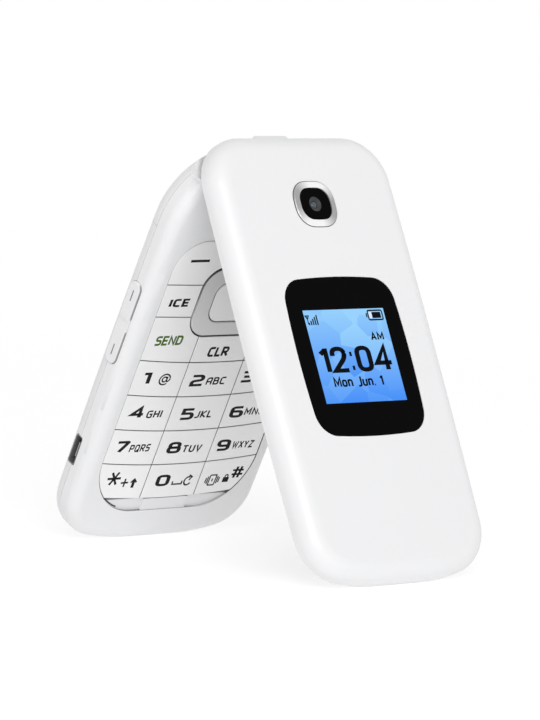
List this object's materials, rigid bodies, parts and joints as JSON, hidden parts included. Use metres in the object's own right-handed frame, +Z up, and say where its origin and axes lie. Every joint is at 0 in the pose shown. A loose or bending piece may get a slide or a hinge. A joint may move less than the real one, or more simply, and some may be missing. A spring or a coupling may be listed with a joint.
{
  "type": "flip phone",
  "caption": "Clamshell mobile phone standing open like a tent, with an outer display and camera in the flip, a keypad in the base and a working hinge, keys, side rocker and battery cover.",
  "frame": {"origin": "on the ground, under the middle of the box around the standing phone", "axes": "+Z up; X along the hinge, +X towards the headset socket; -Y towards the flip and its outer display, +Y towards the base and its back"},
  "size_m": [0.0537, 0.09, 0.0906],
  "materials": {
    "case": "glossy white injection-moulded plastic",
    "keys": "satin white moulded plastic with printed legends",
    "nav": "silver-grey gloss plastic",
    "window": "black printed gloss acrylic",
    "glass": "dark gloss lens cover",
    "screen": "colour display",
    "ring": "bright plated trim",
    "black_part": "black moulded plastic",
    "board": "green laminate",
    "foam": "pale silicone rubber",
    "steel": "plain steel",
    "cell": "foil-wrapped cell with a plain label",
    "jack": "black moulded plastic",
    "film": "amber polyimide film and nylon"
  },
  "bodies": {
    "base": {"keypad_cover": "case", "rear_housing": "case", "key_mat": "foam", "dome_sheet": "steel", "main_board": "board", "battery": "cell", "sim_holders": "steel", "battery_contacts": "black_part", "usb_socket": "steel", "headset_jack": "jack", "volume_switch": "black_part", "loudspeaker": "black_part", "vibration_motor": "steel", "microphone": "black_part", "base_screws": "steel", "hinge_can": "steel", "hinge_cam": "steel", "hinge_spring": "steel", "hinge_flex_base": "film"},
    "flip": {"flip_outer_cover": "case", "flip_inner_cover": "case", "outer_window": "window", "outer_display": "screen", "camera_ring": "ring", "camera_glass": "glass", "camera_module": "black_part", "main_display": "screen", "main_window": "window", "earpiece": "black_part", "flip_board": "board", "flip_bumpers": "foam", "flip_screws": "steel", "flip_magnet": "steel", "hinge_shaft": "steel", "hinge_bush": "film", "hinge_flex_flip": "film"},
    "soft_key_left": {"soft_key_left": "keys"},
    "soft_key_right": {"soft_key_right": "keys"},
    "function_key": {"function_key": "keys"},
    "camera_key": {"camera_key": "keys"},
    "call_key": {"call_key": "keys"},
    "clear_key": {"clear_key": "keys"},
    "end_key": {"end_key": "keys"},
    "key_1": {"key_1": "keys"},
    "key_2": {"key_2": "keys"},
    "key_3": {"key_3": "keys"},
    "key_4": {"key_4": "keys"},
    "key_5": {"key_5": "keys"},
    "key_6": {"key_6": "keys"},
    "key_7": {"key_7": "keys"},
    "key_8": {"key_8": "keys"},
    "key_9": {"key_9": "keys"},
    "key_star": {"key_star": "keys"},
    "key_0": {"key_0": "keys"},
    "key_hash": {"key_hash": "keys"},
    "ok_key": {"ok_key": "keys"},
    "nav_ring": {"nav_ring": "nav"},
    "volume_rocker": {"volume_rocker": "case"},
    "battery_cover": {"battery_cover": "case"}
  },
  "joints": [
    {"name": "flip_hinge", "type": "hinge", "parent": "base", "child": "flip", "pos_m": [0.0002, -0.00139, 0.08309], "axis": [-1, 0, 0], "range_deg": [-50.5, 109.5]},
    {"name": "soft_key_left_press", "type": "slide", "parent": "base", "child": "soft_key_left", "axis": [0, 0.9045, 0.4266], "range_m": [0, 0.0003], "stiffness_N_per_m": 300, "springref_m": -0.0005},
    {"name": "soft_key_right_press", "type": "slide", "parent": "base", "child": "soft_key_right", "axis": [0, 0.9045, 0.4266], "range_m": [0, 0.0003], "stiffness_N_per_m": 300, "springref_m": -0.0005},
    {"name": "function_key_press", "type": "slide", "parent": "base", "child": "function_key", "axis": [0, 0.9045, 0.4266], "range_m": [0, 0.0003], "stiffness_N_per_m": 300, "springref_m": -0.0005},
    {"name": "camera_key_press", "type": "slide", "parent": "base", "child": "camera_key", "axis": [0, 0.9045, 0.4266], "range_m": [0, 0.0003], "stiffness_N_per_m": 300, "springref_m": -0.0005},
    {"name": "call_key_press", "type": "slide", "parent": "base", "child": "call_key", "axis": [0, 0.9045, 0.4266], "range_m": [0, 0.0003], "stiffness_N_per_m": 300, "springref_m": -0.0005},
    {"name": "clear_key_press", "type": "slide", "parent": "base", "child": "clear_key", "axis": [0, 0.9045, 0.4266], "range_m": [0, 0.0003], "stiffness_N_per_m": 300, "springref_m": -0.0005},
    {"name": "end_key_press", "type": "slide", "parent": "base", "child": "end_key", "axis": [0, 0.9045, 0.4266], "range_m": [0, 0.0003], "stiffness_N_per_m": 300, "springref_m": -0.0005},
    {"name": "key_1_press", "type": "slide", "parent": "base", "child": "key_1", "axis": [0, 0.9045, 0.4266], "range_m": [0, 0.0003], "stiffness_N_per_m": 300, "springref_m": -0.0005},
    {"name": "key_2_press", "type": "slide", "parent": "base", "child": "key_2", "axis": [0, 0.9045, 0.4266], "range_m": [0, 0.0003], "stiffness_N_per_m": 300, "springref_m": -0.0005},
    {"name": "key_3_press", "type": "slide", "parent": "base", "child": "key_3", "axis": [0, 0.9045, 0.4266], "range_m": [0, 0.0003], "stiffness_N_per_m": 300, "springref_m": -0.0005},
    {"name": "key_4_press", "type": "slide", "parent": "base", "child": "key_4", "axis": [0, 0.9045, 0.4266], "range_m": [0, 0.0003], "stiffness_N_per_m": 300, "springref_m": -0.0005},
    {"name": "key_5_press", "type": "slide", "parent": "base", "child": "key_5", "axis": [0, 0.9045, 0.4266], "range_m": [0, 0.0003], "stiffness_N_per_m": 300, "springref_m": -0.0005},
    {"name": "key_6_press", "type": "slide", "parent": "base", "child": "key_6", "axis": [0, 0.9045, 0.4266], "range_m": [0, 0.0003], "stiffness_N_per_m": 300, "springref_m": -0.0005},
    {"name": "key_7_press", "type": "slide", "parent": "base", "child": "key_7", "axis": [0, 0.9045, 0.4266], "range_m": [0, 0.0003], "stiffness_N_per_m": 300, "springref_m": -0.0005},
    {"name": "key_8_press", "type": "slide", "parent": "base", "child": "key_8", "axis": [0, 0.9045, 0.4266], "range_m": [0, 0.0003], "stiffness_N_per_m": 300, "springref_m": -0.0005},
    {"name": "key_9_press", "type": "slide", "parent": "base", "child": "key_9", "axis": [0, 0.9045, 0.4266], "range_m": [0, 0.0003], "stiffness_N_per_m": 300, "springref_m": -0.0005},
    {"name": "key_star_press", "type": "slide", "parent": "base", "child": "key_star", "axis": [0, 0.9045, 0.4266], "range_m": [0, 0.0003], "stiffness_N_per_m": 300, "springref_m": -0.0005},
    {"name": "key_0_press", "type": "slide", "parent": "base", "child": "key_0", "axis": [0, 0.9045, 0.4266], "range_m": [0, 0.0003], "stiffness_N_per_m": 300, "springref_m": -0.0005},
    {"name": "key_hash_press", "type": "slide", "parent": "base", "child": "key_hash", "axis": [0, 0.9045, 0.4266], "range_m": [0, 0.0003], "stiffness_N_per_m": 300, "springref_m": -0.0005},
    {"name": "ok_key_press", "type": "slide", "parent": "base", "child": "ok_key", "axis": [0, 0.9045, 0.4266], "range_m": [0, 0.0003], "stiffness_N_per_m": 300, "springref_m": -0.0005},
    {"name": "nav_ring_tilt", "type": "hinge", "parent": "base", "child": "nav_ring", "pos_m": [0.0002, 0.01227, 0.05449], "axis": [1, 0, 0], "range_deg": [-1, 1], "stiffness_Nm_per_rad": 0.02},
    {"name": "volume_rocker_tilt", "type": "hinge", "parent": "base", "child": "volume_rocker", "pos_m": [-0.02515, 0.01865, 0.04987], "axis": [0, -0.9045, -0.4266], "range_deg": [-1.5, 1.5], "stiffness_Nm_per_rad": 0.03},
    {"name": "battery_cover_lift", "type": "slide", "parent": "base", "child": "battery_cover", "axis": [0, 0.9045, 0.4266], "range_m": [0, 0.008]}
  ]
}
